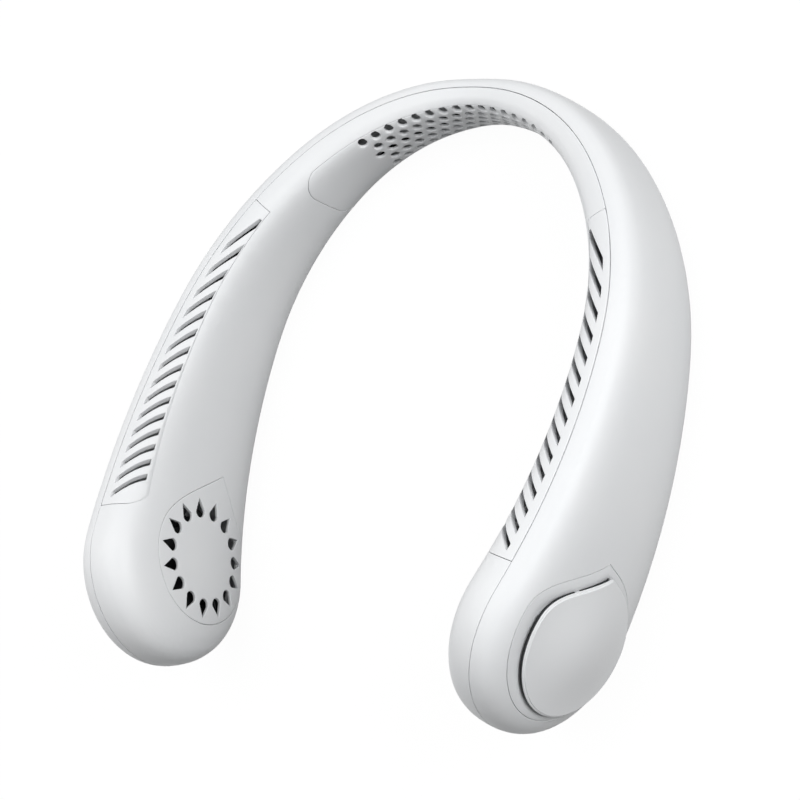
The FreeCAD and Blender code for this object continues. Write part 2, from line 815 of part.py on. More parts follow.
# Cap held clear of the dish on legs, so air is drawn in under its edge
cap = pod_plug(drop("cap"), CAP_UNDER, CAP_TOP)
upright = [item for item in cap.Edges if item.BoundBox.ZLength > size("cap_thickness") / 2]
tip_edge = min(upright, key=lambda item: item.BoundBox.Center.y)
cap = cap.makeFillet(size("cap_tip_round"), [tip_edge])
cap = cap.makeFillet(size("cap_round"), [item for item in cap.Edges if item.BoundBox.ZLength < FIT])
legs = circle_of(count("cap_leg_count"), size("cap_leg_circle"), math.pi)
cap = cap.fuse(rods(legs, size("cap_leg_radius"), DISH_FLOOR, CAP_TOP - size("cap_round")))
pair("outer_cap", solid_of(on_right_pod(cap)))

# Motor pieces in both pods
pole_low = RING_UNDER - size("coil_overhang") - size("stator_length")
for side in SIDES:
    plate = bound("Part::Cylinder", "mount_disc_" + side, Radius="sizes.mount_radius", Height="sizes.mount_plate")
    plate.Placement.Base = UP * size("mount_tube_length")
    tube = bound("Part::Cylinder", "mount_sleeve_" + side, Radius="sizes.mount_tube_radius",
                 Height="sizes.mount_tube_length")
    post = bound("Part::Fuse", "mount_form_" + side)
    post.Base = plate
    post.Tool = tube
    bore = bound("Part::Cylinder", "mount_bore_" + side, Radius="sizes.bush_radius",
                 Height="sizes.mount_tube_length + sizes.mount_plate")
    drilled = bound("Part::Cut", "mount_drilled_" + side)
    drilled.Base = post
    drilled.Tool = bore
    holes = doc.addObject("Part::Feature", "mount_holes_" + side)
    holes.Shape = Part.makeCompound(rods(motor_holes, size("motor_screw_radius"), 0.0,
                                         size("mount_tube_length") + size("mount_plate") + OVERRUN))
    mount = bound("Part::Cut", "motor_mount_" + side)
    mount.Base = drilled
    mount.Tool = holes
    place(mount, side, MOUNT_UNDER - size("mount_tube_length"))
    nodes["motor_mount_" + side] = mount

    bush = ring_body("bush_" + side, "bush_radius", "bush_bore", "mount_tube_length")
    place(bush, side, MOUNT_UNDER - size("mount_tube_length"))
    ring = ring_body("motor_board_" + side, "board_ring_radius", "mount_tube_radius", "board_ring_thickness")
    place(ring, side, RING_UNDER)

    screw_tops = rods(motor_holes, size("motor_screw_head_radius"), -size("motor_screw_head"), 0.0)
    shanks = rods(motor_holes, size("motor_screw_radius"), 0.0, size("mount_plate") + size("dish_wall"))
    fasteners = Part.makeCompound([top.fuse(shank) for top, shank in zip(screw_tops, shanks)])
    place(piece("motor_screws_" + side, fasteners), side, MOUNT_UNDER)

    yoke = Part.makeCylinder(size("yoke_radius"), size("stator_length"))
    pole_reach = size("stator_radius") - size("shoe_depth")
    poles, coils = [], []
    for step in range(count("pole_count")):
        turn = FULL_TURN * step / count("pole_count")
        pole = Part.makeBox(pole_reach, size("pole_width"), size("stator_length"),
                            Vector(0, -size("pole_width") / 2, 0))
        shoe = Part.makeBox(size("stator_radius"), size("shoe_width"), size("stator_length"),
                            Vector(pole_reach, -size("shoe_width") / 2, 0))
        arm = pole.fuse(shoe)
        lap = size("coil_overhang")
        coil = Part.makeBox(pole_reach - size("yoke_radius") - FIT, size("coil_width"),
                            size("stator_length") + 2 * lap,
                            Vector(size("yoke_radius") + FIT / 2, -size("coil_width") / 2, -lap))
        for item, group in ((arm, poles), (coil.cut(pole), coils)):
            item.rotate(ORIGIN, UP, turn)
            group.append(item)
    rim = Part.makeCylinder(size("stator_radius"), size("stator_length"))
    core = yoke.fuse(poles).common(rim)
    core = core.cut(Part.makeCylinder(size("mount_tube_radius"), size("stator_length")))
    place(piece("stator_" + side, solid_of(core)), side, pole_low)
    place(piece("windings_" + side, Part.makeCompound(coils)), side, pole_low)

    magnet = bound("Part::Cylinder", "magnet_outer_" + side,
                   Radius="sizes.magnet_bore + sizes.magnet_thickness", Height="sizes.stator_length")
    inside = bound("Part::Cylinder", "magnet_inner_" + side, Radius="sizes.magnet_bore",
                   Height="sizes.stator_length")
    ring = bound("Part::Cut", "magnet_ring_" + side)
    ring.Base = magnet
    ring.Tool = inside
    place(ring, side, pole_low)
    nodes["magnet_ring_" + side] = ring

    can_out = bound("Part::Cylinder", "can_outer_" + side, Height="sizes.can_length",
                    Radius="sizes.magnet_bore + sizes.magnet_thickness + sizes.can_wall")
    can_in = bound("Part::Cylinder", "can_inner_" + side, Height="sizes.can_length",
                   Radius="sizes.magnet_bore + sizes.magnet_thickness")
    can_in.Placement.Base = UP * size("can_base")
    can = bound("Part::Cut", "can_cup_" + side)
    can.Base = can_out
    can.Tool = can_in
    eye = bound("Part::Cylinder", "can_eye_" + side, Radius="sizes.shaft_radius", Height="sizes.can_base")
    cup = bound("Part::Cut", "rotor_can_" + side)
    cup.Base = can
    cup.Tool = eye
    place(cup, side, CAN_BASE)
    nodes["rotor_can_" + side] = cup

    shaft = bound("Part::Cylinder", "shaft_" + side, Radius="sizes.shaft_radius")
    shaft.Height = DISH_UNDER - size("shaft_end_gap") - CAN_BASE
    place(shaft, side, CAN_BASE)
    nodes["shaft_" + side] = shaft


def blade():
    """One blade of the blower wheel, a thin curved plate from the eye to the rim."""
    eye = size("wheel_eye_radius")
    rim = size("wheel_radius")
    middle = (eye + rim) / 2
    sweep = math.radians(size("blade_sweep_angle"))

    def at(radius, turn, side):
        spread = size("blade_thickness") / 2 / radius * side
        return Vector(radius * math.cos(turn + spread), radius * math.sin(turn + spread), 0)

    bow_share = 0.3
    turns = (0.0, sweep * bow_share, sweep)
    front = [at(radius, turn, 1) for radius, turn in zip((eye, middle, rim), turns)]
    back = [at(radius, turn, -1) for radius, turn in zip((eye, middle, rim), turns)]
    outline = Part.Wire([
        Part.Arc(*front).toShape(),
        Part.makeLine(front[-1], back[-1]),
        Part.Arc(*back[::-1]).toShape(),
        Part.makeLine(back[0], front[0]),
    ])
    return Part.Face(outline).extrude(UP * size("wheel_width"))


def hoop(outer, inner, low, depth):
    ring = Part.makeCylinder(outer, depth, UP * low)
    return ring.cut(Part.makeCylinder(inner, depth, UP * low))


# Blower wheel: hub over the rotor can, web, blades on both sides of it, and a shroud ring at each end
hub_radius = CAN_RADIUS + size("hub_wall")
hub_low = -size("hub_wall")
wheel_low = size("can_length") - RUN - size("wheel_width")
shroud_in = size("wheel_radius") - size("shroud_width")
wheel = hoop(hub_radius, CAN_RADIUS, 0.0, size("hub_length"))
hub_face = Part.makeCylinder(hub_radius, size("hub_wall"), UP * hub_low)
web = hoop(size("wheel_radius") - size("shroud_width") / 2, CAN_RADIUS, 0.0, size("web_thickness"))
blades = []
for number in range(count("blade_count")):
    item = blade()
    item.translate(UP * wheel_low)
    item.rotate(ORIGIN, UP, FULL_TURN * number / count("blade_count"))
    blades.append(item)
shrouds = [
    hoop(size("wheel_radius"), shroud_in, level, size("shroud_thickness"))
    for level in (wheel_low, wheel_low + size("wheel_width") - size("shroud_thickness"))
]
wheel = wheel.fuse([hub_face, web] + shrouds + blades)
for side in SIDES:
    place(piece("impeller_" + side, solid_of(wheel)), side, CAN_BASE)

# Battery, its cradle and the duct floor above it
for side, hand in zip(SIDES, (1, -1)):
    middle = hand * size("battery_middle")
    cell = bound("Part::Box", "cell_" + side, Length="sizes.battery_length", Width="sizes.battery_thickness",
                 Height="sizes.battery_height")
    battery = bound("Part::Fillet", "battery_" + side)
    battery.Base = cell
    doc.recompute()
    upright = [
        (number, size("battery_round"), size("battery_round"))
        for number, item in enumerate(cell.Shape.Edges, 1)
        if item.BoundBox.ZLength > size("battery_height") / 2
    ]
    battery.Edges = upright
    floor = size("cradle_level") + size("cradle_wall")
    corner = Vector(-size("battery_length") / 2, -size("battery_thickness") / 2, 0)
    seatpoint = frame(middle, 0.0, floor)
    battery.Placement = seatpoint.multiply(FreeCAD.Placement(corner, FreeCAD.Rotation()))
    nodes["battery_" + side] = battery


# Battery cradle: a tray on a floor that reaches the walls
cradle_length = size("battery_length") + 2 * size("cradle_wall")
cradle_width = size("battery_thickness") + 2 * size("cradle_wall")
tray = Part.makeBox(cradle_length, cradle_width, size("cradle_side") + size("cradle_wall"),
                    Vector(-cradle_length / 2, -cradle_width / 2, 0))
tray = tray.cut(Part.makeBox(size("battery_length"), size("battery_thickness"), size("pod_height"),
                             Vector(-size("battery_length") / 2, -size("battery_thickness") / 2,
                                    size("cradle_wall"))))
tray.Placement = frame(size("battery_middle"), 0.0, size("cradle_level"))
cradle_start = size("battery_middle") - cradle_length / 2
cradle_plan = strip(cradle_start, cradle_start + cradle_length, INNER_SIDE, OUTER_SIDE)
cradle_floor = standing(cradle_plan, size("cradle_level"), size("cradle_level") + size("cradle_wall"))
pair("cradle", solid_of(tray.fuse(cradle_floor.common(room)).removeSplitter()))

duct_end = size("duct_start") + size("duct_length")
duct_form = standing(strip(size("duct_start"), duct_end, INNER_SIDE, OUTER_SIDE), size("duct_level"),
                     size("duct_level") + size("duct_thickness"))
pair("duct_floor", solid_of(duct_form.common(room)))

# Control board, switch, button, light guide and charging socket
board = bound("Part::Box", "control_board", Length="sizes.board_length", Width="sizes.board_thickness",
              Height="sizes.board_height")
corner = Vector(-size("board_length") / 2, -size("board_thickness"), 0)
board.Placement = frame(CONTROL, 0.0, size("board_level")).multiply(
    FreeCAD.Placement(corner, FreeCAD.Rotation()))
nodes["control_board"] = board

plunger_top = size("switch_height") + size("plunger_height")
switch = Part.makeBox(size("switch_side"), size("switch_height"), size("switch_side"),
                      Vector(-size("switch_side") / 2, 0, -size("switch_side") / 2))
switch = switch.fuse(Part.makeCylinder(size("plunger_radius"), plunger_top, ORIGIN, Vector(0, 1, 0)))
piece("tact_switch", solid_of(switch)).Placement = frame(CONTROL, 0.0, size("button_level"))

flange_top = button_inside - FIT
flange_low = flange_top - size("button_flange")
stem_low = plunger_top + size("button_travel") + RUN
button = rods([button_axis], size("button_radius"), flange_low, button_side + size("button_proud"), control_out)[0]
button = button.fuse(
    rods([button_axis], size("button_flange_radius"), flange_low, flange_top, control_out)
    + rods([button_axis], size("button_stem_radius"), stem_low, flange_low, control_out))
piece("power_button", solid_of(button))

bar_middle = (light_stops[0] + light_stops[-1]) / 2
bar_length = size("light_pitch") * count("light_count")
bar_reach = surface_reach(bar_middle, size("button_level"), WALL)
bar = Part.makeBox(bar_length, size("light_bar_depth") + WALL, size("light_bar_height"),
                   Vector(-bar_length / 2, -size("light_bar_depth"), -size("light_bar_height") / 2))
bar.Placement = frame(bar_middle, bar_reach, size("button_level"))
guide = bar.common(room).fuse([pip.common(whole) for pip in light_pips])
piece("light_guide", solid_of(guide))

shell = socket_block(0.0, size("socket_level"), socket_top)
shell = shell.cut(socket_block(-size("socket_skin"), size("socket_level") - OVERRUN,
                               socket_top - size("socket_skin")))
tongue = Part.makeBox(size("socket_tongue_width"), size("socket_tongue_thickness"),
                      size("socket_tongue_length") + size("socket_skin"),
                      Vector(-size("socket_tongue_width") / 2, -size("socket_tongue_thickness") / 2, 0))
tongue_base = socket_top - size("socket_skin") - size("socket_tongue_length")
tongue.Placement = frame(CONTROL, -size("board_thickness") - size("socket_thickness") / 2, tongue_base)
piece("charging_socket", solid_of(shell.fuse(tongue)))

# Wiring: a harness round the back, a plug at each end of it and a lead to each motor
left_plug = -(size("board_middle") - size("board_length") / 2 - size("plug_gap") - size("plug_length") / 2)
right_plug = POD_ALONG - size("lead_run")
harness_level = WALL + FIT + size("harness_radius")
plugs = []
for middle in (left_plug, right_plug):
    block = Part.makeBox(size("plug_length"), size("plug_width"), size("plug_height"),
                         Vector(-size("plug_length") / 2, -size("plug_width") / 2, 0))
    block.Placement = frame(middle, 0.0, harness_level - size("harness_radius"))
    plugs.append(block)
piece("harness_plugs", Part.makeCompound(plugs))

harness_start = left_plug + size("plug_length") / 2 + FIT
harness_end = right_plug - size("plug_length") / 2 - FIT
joins = [0.0]
for radius, angle in BENDS:
    joins.append(joins[-1] + radius * angle)
joins = [-join for join in joins[1:]] + joins
stops = [harness_start, harness_end]
stops += [join for join in joins if harness_start < join < harness_end]
stops.sort()
arcs = []
for start, end in zip(stops, stops[1:]):
    points = [spot(along, 0.0, harness_level) for along in (start, (start + end) / 2, end)]
    arcs.append(Part.Arc(*points).toShape())
start_on = plan(stops[0])[2]
profile = Part.Wire([Part.makeCircle(size("harness_radius"), spot(stops[0], 0.0, harness_level), start_on)])
piece("harness", Part.Wire(arcs).makePipeShell([profile], True, False).Solids[0])


def lead(side):
    """Motor lead: down from the motor board, back along the arm and in to its plug, with tangent bends."""
    base = pod_frame(side)
    hand = 1 if side == "right" else -1
    level = MOUNT_UNDER - FIT - size("lead_radius")
    inner = size("plug_width") / 2 if side == "right" else 0.0
    run = -hand * size("lead_run")
    corners = [
        Vector(-size("board_ring_radius"), 0, level),
        Vector(-size("lead_drop"), 0, level),
        Vector(-size("lead_drop"), run, level),
        Vector(-size("lead_drop"), run, inner),
    ]
    bend = size("lead_bend_radius")
    edges = []
    here = corners[0]
    for before, corner, after in zip(corners, corners[1:], corners[2:]):
        arriving = (corner - before).normalize()
        leaving = (after - corner).normalize()
        first = corner - arriving * bend
        last = corner + leaving * bend
        centre = corner - arriving * bend + leaving * bend
        halfway = centre + (corner - centre).normalize() * bend
        edges.append(Part.makeLine(here, first))
        edges.append(Part.Arc(first, halfway, last).toShape())
        here = last
    edges.append(Part.makeLine(here, corners[-1]))
    start = (corners[1] - corners[0]).normalize()
    profile = Part.Wire([Part.makeCircle(size("lead_radius"), corners[0], start)])
    tube = Part.Wire(edges).makePipeShell([profile], True, False).Solids[0]
    tube.Placement = base
    return tube


for side in SIDES:
    piece("motor_lead_" + side, lead(side))

doc.recompute()

failed = [item.Name for item in doc.Objects if "Invalid" in item.State or "Error" in item.State]
for name, item in nodes.items():
    if item.Shape.isNull() or not item.Shape.isValid():
        failed.append(name)
if failed:
    raise RuntimeError("pieces that did not build: " + ", ".join(failed))

os.makedirs("parts", exist_ok=True)
for name, item in nodes.items():
    item.Shape.exportStep(os.path.join("parts", name + ".step"))
    print(name, len(item.Shape.Solids), round(item.Shape.Volume, 1))
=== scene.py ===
# %% [markdown]
# A neck fan, dressed for a photograph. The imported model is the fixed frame: every piece made here sits in
# the same metres and the same axes as its solids, so nothing has to be fitted by eye.

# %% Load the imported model
import json
import math
import bpy
from mathutils import Matrix, Vector


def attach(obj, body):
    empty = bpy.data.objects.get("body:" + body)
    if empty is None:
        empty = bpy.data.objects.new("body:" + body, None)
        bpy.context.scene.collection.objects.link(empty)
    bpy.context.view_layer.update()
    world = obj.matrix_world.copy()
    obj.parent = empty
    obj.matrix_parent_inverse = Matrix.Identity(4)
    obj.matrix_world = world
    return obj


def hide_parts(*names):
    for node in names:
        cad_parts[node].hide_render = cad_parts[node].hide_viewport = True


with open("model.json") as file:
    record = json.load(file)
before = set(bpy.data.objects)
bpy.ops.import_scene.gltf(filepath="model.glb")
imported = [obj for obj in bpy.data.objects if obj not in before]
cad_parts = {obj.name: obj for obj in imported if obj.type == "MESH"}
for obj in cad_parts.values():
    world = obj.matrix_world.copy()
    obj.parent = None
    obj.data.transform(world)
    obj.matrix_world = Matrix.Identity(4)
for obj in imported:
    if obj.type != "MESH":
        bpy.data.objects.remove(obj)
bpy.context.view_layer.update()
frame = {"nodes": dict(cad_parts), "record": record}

nodes = frame["nodes"]
print("pieces in the frame:", len(nodes))

# %% [markdown]
# The camera stands in front of the right pod and looks down at the collar. Its place, its turn and its long
# lens were worked out from the outline in the photograph, so the picture and the model line up. A camera
# could also be aimed at a spot with a constraint, but that would leave its roll to chance.

# %% Camera
CAMERA_PLACE = Vector((0.53848, -0.12138, 0.63942))
IMAGE_RIGHT = Vector((0.75577, 0.20594, -0.62161))
IMAGE_UP = Vector((-0.06685, 0.96857, 0.23961))
TOWARDS_CAMERA = Vector((0.65141, -0.13953, 0.74578))
SENSOR_WIDTH = 36.0
LENS_LENGTH = 119.34

camera_data = bpy.data.cameras.new("photo_camera")
camera_data.sensor_width = SENSOR_WIDTH
camera_data.lens = LENS_LENGTH
camera = bpy.data.objects.new("photo_camera", camera_data)
bpy.context.scene.collection.objects.link(camera)
turn = Matrix((IMAGE_RIGHT, IMAGE_UP, TOWARDS_CAMERA)).transposed().to_4x4()
camera.matrix_world = Matrix.Translation(CAMERA_PLACE) @ turn
bpy.context.scene.camera = camera
bpy.context.scene.view_settings.view_transform = "Standard"
print("camera is", round(CAMERA_PLACE.length, 3), "m from the middle of the collar's base")

# %% [markdown]
# A white object on a white ground needs care: light strong enough to make the ground white would wash the
# object out. So the ground is lifted to white only for rays that come from the camera, straight or by way of
# a mirror-like surface or glass. All other rays meet a darker ground, and the collar keeps its own shades.

# %% Helpers that tell the camera's rays from the rest
def greater(tree, first, second):
    """The greater of two values."""
    node = tree.nodes.new("ShaderNodeMath")
    node.operation = "MAXIMUM"
    tree.links.new(first, node.inputs[0])
    tree.links.new(second, node.inputs[1])
    return node.outputs[0]


def seen_by_camera(tree):
    """1 for a ray that comes from the camera, straight, mirrored or through glass, and 0 for any other."""
    rays = tree.nodes.new("ShaderNodeLightPath")
    straight_or_mirrored = greater(tree, rays.outputs["Is Camera Ray"], rays.outputs["Is Glossy Ray"])
    return greater(tree, straight_or_mirrored, rays.outputs["Is Transmission Ray"])


print("helpers ready:", greater.__name__, "and", seen_by_camera.__name__)

# %% [markdown]
# The collar lies on a wide, pale studio floor, half a millimetre below its lowest point, so the two never
# fight for the same place. A plain diffuse paint takes the faint shadow, and a glow that only the camera sees
# lifts it to white.

# %% Floor
FLOOR_SIZE = 6.0
FLOOR_GAP = 0.0005
FLOOR_GLOW = 0.96
FLOOR_SHADE = 0.05

bpy.ops.object.select_all(action="DESELECT")
bpy.ops.mesh.primitive_plane_add(size=FLOOR_SIZE, location=(0.0, 0.0, -FLOOR_GAP))
floor = bpy.context.object
floor.name = "studio_floor"
bpy.ops.object.transform_apply(location=True, rotation=True, scale=True)

floor_paint = bpy.data.materials.new("studio_floor_paint")
floor_paint.use_nodes = True
tree = floor_paint.node_tree
tree.nodes.clear()
lift = tree.nodes.new("ShaderNodeMath")
lift.operation = "MULTIPLY"
lift.inputs[1].default_value = FLOOR_GLOW
tree.links.new(seen_by_camera(tree), lift.inputs[0])
glow = tree.nodes.new("ShaderNodeEmission")
tree.links.new(lift.outputs[0], glow.inputs["Strength"])
matt = tree.nodes.new("ShaderNodeBsdfDiffuse")
matt.inputs["Color"].default_value = (FLOOR_SHADE, FLOOR_SHADE, FLOOR_SHADE, 1.0)
both = tree.nodes.new("ShaderNodeAddShader")
tree.links.new(glow.outputs[0], both.inputs[0])
tree.links.new(matt.outputs[0], both.inputs[1])
surface = tree.nodes.new("ShaderNodeOutputMaterial")
tree.links.new(both.outputs[0], surface.inputs["Surface"])
floor.data.materials.append(floor_paint)
print("floor is", FLOOR_SIZE, "m wide and", FLOOR_GAP * 1000.0, "mm below the collar")

# %% [markdown]
# Round the floor is a white surround that is brighter above than below, as in a studio with a pale ceiling.
# That gives the undersides of the pods their soft shade. An even surround would make them look flat.

# %% Surround
GLOW_BELOW = 0.12
GLOW_ABOVE = 0.64

world = bpy.data.worlds.new("studio_surround")
bpy.context.scene.world = world
world.use_nodes = True
sky = world.node_tree
direction = sky.nodes.new("ShaderNodeTexCoord")
split = sky.nodes.new("ShaderNodeSeparateXYZ")
sky.links.new(direction.outputs["Generated"], split.inputs["Vector"])
rise = sky.nodes.new("ShaderNodeMapRange")
rise.inputs["To Min"].default_value = GLOW_BELOW
rise.inputs["To Max"].default_value = GLOW_ABOVE
sky.links.new(split.outputs["Z"], rise.inputs["Value"])
background = sky.nodes["Background"]
background.inputs["Color"].default_value = (1.0, 1.0, 1.0, 1.0)
white_or_graded = greater(sky, rise.outputs["Result"], seen_by_camera(sky))
sky.links.new(white_or_graded, background.inputs["Strength"])
print("surround goes from", GLOW_BELOW, "to", GLOW_ABOVE)

# %% [markdown]
# Three broad soft boxes model the forms: a weak one overhead, the main one from the right, and a weaker one
# that fills the left. Broad lights give the slow shades that white plastic shows in a studio, where a small
# lamp would leave hard spots.

# %% Soft boxes
SOFT_BOXES = {
    "overhead_box": {"place": (-0.30, 0.10, 1.05), "aim": (0.0, 0.0, 0.03), "size": 0.9, "power": 4.1},
    "side_box": {"place": (1.05, 0.35, 0.55), "aim": (0.08, 0.0, 0.03), "size": 0.8, "power": 10.6},
    "fill_box": {"place": (-1.10, 0.15, 0.25), "aim": (-0.08, 0.0, 0.03), "size": 0.8, "power": 2.4},
}


def soft_box(name, place, aim, size, power):
    """A square light that points at a spot."""
    data = bpy.data.lights.new(name, "AREA")
    data.size = size
    data.energy = power
    lamp = bpy.data.objects.new(name, data)
    bpy.context.scene.collection.objects.link(lamp)
    lamp.location = place
    lamp.rotation_euler = (Vector(aim) - Vector(place)).to_track_quat("-Z", "Y").to_euler()
    return lamp


for name, values in SOFT_BOXES.items():
    lamp = soft_box(name, **values)
    print(lamp.name, "gives", values["power"], "W")

# %% [markdown]
# The casing is white moulded plastic. Up close it isn't one flat colour: the mould leaves a fine grain, the
# sheen wanders a little, and the white leans cool in some places. One node group makes that grain and the
# slow change of tone, and every finish uses it with its own values. The nodes could be copied into each
# material instead, but a group is changed in one place.

# %% Node group for moulded plastic
GRAIN_SCALE = 900.0
TONE_SCALE = 25.0

grain = bpy.data.node_groups.new("moulded_grain", "ShaderNodeTree")
for socket, usual in (("Grain Scale", GRAIN_SCALE), ("Tone Scale", TONE_SCALE)):
    made = grain.interface.new_socket(socket, in_out="INPUT", socket_type="NodeSocketFloat")
    made.default_value = usual
for socket in ("Height", "Tone"):
    grain.interface.new_socket(socket, in_out="OUTPUT", socket_type="NodeSocketFloat")
group_in = grain.nodes.new("NodeGroupInput")
group_out = grain.nodes.new("NodeGroupOutput")
where = grain.nodes.new("ShaderNodeTexCoord")
fine = grain.nodes.new("ShaderNodeTexNoise")
fine.inputs["Detail"].default_value = 3.0
broad = grain.nodes.new("ShaderNodeTexNoise")
broad.inputs["Detail"].default_value = 4.0
broad.inputs["Roughness"].default_value = 0.6
for noise, scale, result in ((fine, "Grain Scale", "Height"), (broad, "Tone Scale", "Tone")):
    grain.links.new(where.outputs["Object"], noise.inputs["Vector"])
    grain.links.new(group_in.outputs[scale], noise.inputs["Scale"])
    grain.links.new(noise.outputs["Fac"], group_out.inputs[result])
print("node group:", grain.name)

# %% [markdown]
# A plastic takes its colour from the slow noise, between two close tones, and its sheen and its grain from
# the fine one. Image textures could do the same, but noise in object space needs no unwrapping and has no
# seams. A noise seldom leaves the middle of its range, so that middle is spread over the whole change.

# %% Helper for plastics
NOISE_LOW = 0.3
NOISE_HIGH = 0.7
GRAIN_DEPTH = 0.00002
GRAIN_STRENGTH = 0.35
PLASTIC_IOR = 1.5
COAT_SHEEN = 0.12


def plastic(name, light, dark, sheen_low, sheen_high, grain_scale=GRAIN_SCALE, grain_depth=GRAIN_DEPTH,
            tone_scale=TONE_SCALE, coat=0.0, gloss=0.5):
    """Moulded plastic: a colour between two tones, a sheen between two values, and a fine grain."""
    made = bpy.data.materials.new(name)
    made.use_nodes = True
    tree = made.node_tree
    shader = tree.nodes["Principled BSDF"]
    shader.inputs["Coat Weight"].default_value = coat
    shader.inputs["Coat Roughness"].default_value = COAT_SHEEN
    shader.inputs["IOR"].default_value = PLASTIC_IOR
    shader.inputs["Specular IOR Level"].default_value = gloss
    source = tree.nodes.new("ShaderNodeGroup")
    source.node_tree = grain
    source.inputs["Grain Scale"].default_value = grain_scale
    source.inputs["Tone Scale"].default_value = tone_scale
    ramp = tree.nodes.new("ShaderNodeValToRGB")
    ramp.color_ramp.elements[0].position = NOISE_LOW
    ramp.color_ramp.elements[1].position = NOISE_HIGH
    ramp.color_ramp.elements[0].color = (*dark, 1.0)
    ramp.color_ramp.elements[1].color = (*light, 1.0)
    tree.links.new(source.outputs["Tone"], ramp.inputs["Fac"])
    tree.links.new(ramp.outputs["Color"], shader.inputs["Base Color"])
    spread = tree.nodes.new("ShaderNodeMapRange")
    spread.inputs["From Min"].default_value = NOISE_LOW
    spread.inputs["From Max"].default_value = NOISE_HIGH
    spread.inputs["To Min"].default_value = sheen_low
    spread.inputs["To Max"].default_value = sheen_high
    tree.links.new(source.outputs["Height"], spread.inputs["Value"])
    tree.links.new(spread.outputs["Result"], shader.inputs["Roughness"])
    bump = tree.nodes.new("ShaderNodeBump")
    bump.inputs["Strength"].default_value = GRAIN_STRENGTH
    bump.inputs["Distance"].default_value = grain_depth
    tree.links.new(source.outputs["Height"], bump.inputs["Height"])
    tree.links.new(bump.outputs["Normal"], shader.inputs["Normal"])
    return made


print("grain is", GRAIN_DEPTH * 1000.0, "mm deep")

# %% [markdown]
# The whites are close but not one: the cap and the button are a little smoother than the casing, and the dish
# under the cap is a shade darker. One white for all would be simpler, but the covers would then melt into the
# casing. The pieces inside are painted near black, which is painted shade: it makes the slots and holes read
# as openings. The battery cells have a blue wrap, and the boards a green mask over copper.

# %% Plastic finishes
finishes = {
    "shell_plastic": plastic(
        "shell_white", (0.80, 0.81, 0.82), (0.77, 0.785, 0.80), 0.38, 0.48, gloss=0.3),
    "cover_plastic": plastic(
        "cover_white", (0.79, 0.80, 0.81), (0.76, 0.775, 0.79), 0.42, 0.52, gloss=0.3),
    "grille_plastic": plastic(
        "grille_white", (0.80, 0.81, 0.82), (0.77, 0.785, 0.80), 0.38, 0.48, gloss=0.3),
    "cap_plastic": plastic(
        "cap_white", (0.81, 0.82, 0.83), (0.78, 0.795, 0.81), 0.34, 0.44, gloss=0.35),
    "dish_plastic": plastic(
        "dish_white", (0.76, 0.77, 0.78), (0.73, 0.745, 0.76), 0.42, 0.55),
    # Near black as painted shade, so that the openings in the casing read dark.
    "inner_plastic": plastic(
        "inner_painted_shade", (0.08, 0.085, 0.09), (0.05, 0.053, 0.057), 0.50, 0.65),
    "wheel_plastic": plastic(
        "wheel_black", (0.03, 0.031, 0.034), (0.018, 0.019, 0.021), 0.40, 0.55),
    "switch_plastic": plastic(
        "switch_black", (0.03, 0.03, 0.032), (0.02, 0.02, 0.022), 0.45, 0.60),
    "button_plastic": plastic(
        "button_white", (0.81, 0.82, 0.83), (0.78, 0.795, 0.81), 0.30, 0.38, coat=0.2),
    "light_plastic": plastic(
        "light_smoky", (0.32, 0.35, 0.37), (0.26, 0.29, 0.31), 0.18, 0.26, coat=0.4),
    "cell_wrap": plastic(
        "cell_blue", (0.03, 0.09, 0.26), (0.02, 0.06, 0.19), 0.25, 0.35, coat=0.3),
    "wire_rubber": plastic(
        "wire_black", (0.022, 0.022, 0.024), (0.014, 0.014, 0.016), 0.60, 0.75),
    "board": plastic(
        "board_green", (0.02, 0.13, 0.06), (0.012, 0.09, 0.04), 0.30, 0.42, coat=0.3, tone_scale=260.0),
}
print("plastics:", len(finishes))

# %% [markdown]
# Only small pieces are metal: screws, shafts, rotor cans and the charging socket are steel, the bushes are
# bronze, the motors' cores and magnets are dark iron, and their windings are copper. At this size a tool's
# marks are just a very fine grain, so a metal is a plastic with a finer and shallower grain, and with
# Metallic at 1.

# %% Metal finishes
METAL_GRAIN_DEPTH = 0.00001
METAL_TONE_SCALE = 140.0


def metal(name, light, dark, sheen_low, sheen_high, grain_scale):
    """Bare metal: a fine grain changes its sheen, and a slower noise its colour."""
    made = plastic(name, light, dark, sheen_low, sheen_high, grain_scale=grain_scale,
                   grain_depth=METAL_GRAIN_DEPTH, tone_scale=METAL_TONE_SCALE)
    made.node_tree.nodes["Principled BSDF"].inputs["Metallic"].default_value = 1.0
    return made


finishes["steel"] = metal("plain_steel", (0.62, 0.62, 0.63), (0.52, 0.52, 0.54), 0.25, 0.38, 1600.0)
finishes["bronze"] = metal("sintered_bronze", (0.58, 0.40, 0.20), (0.46, 0.31, 0.15), 0.40, 0.55, 2400.0)
finishes["lamination"] = metal("dark_iron", (0.16, 0.16, 0.17), (0.10, 0.10, 0.11), 0.45, 0.60, 2000.0)
finishes["copper"] = metal("wire_copper", (0.70, 0.30, 0.14), (0.52, 0.21, 0.09), 0.25, 0.40, 3000.0)
print("finishes with the metals:", len(finishes))

# %% [markdown]
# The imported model's record says which finish each solid has. Every solid gets it, also those inside the
# casing, because the slots and holes let some of them show.

# %% Finishes on the solids
slot_of = {row["node"]: row["material_slot"] for row in frame["record"]["subparts"]}


def put_on(piece, finish):
    """Gives a piece one finish in place of any other."""
    piece.data.materials.clear()
    piece.data.materials.append(finish)


for name, node in nodes.items():
    put_on(node, finishes[slot_of[name]])
print("finishes in use:", len(set(slot_of.values())))

# %% [markdown]
# A solid from the CAD model has perfectly sharp edges, but a moulded cover never has: the tool leaves a small
# round on each edge, and that round catches the light. The covers could be modelled again from a plane, but
# their outlines have to fit the casing to a tenth of a millimetre. So a cover starts as a copy of its solid.
# The copy's loose triangles are merged first, or an edge would have nothing to round.

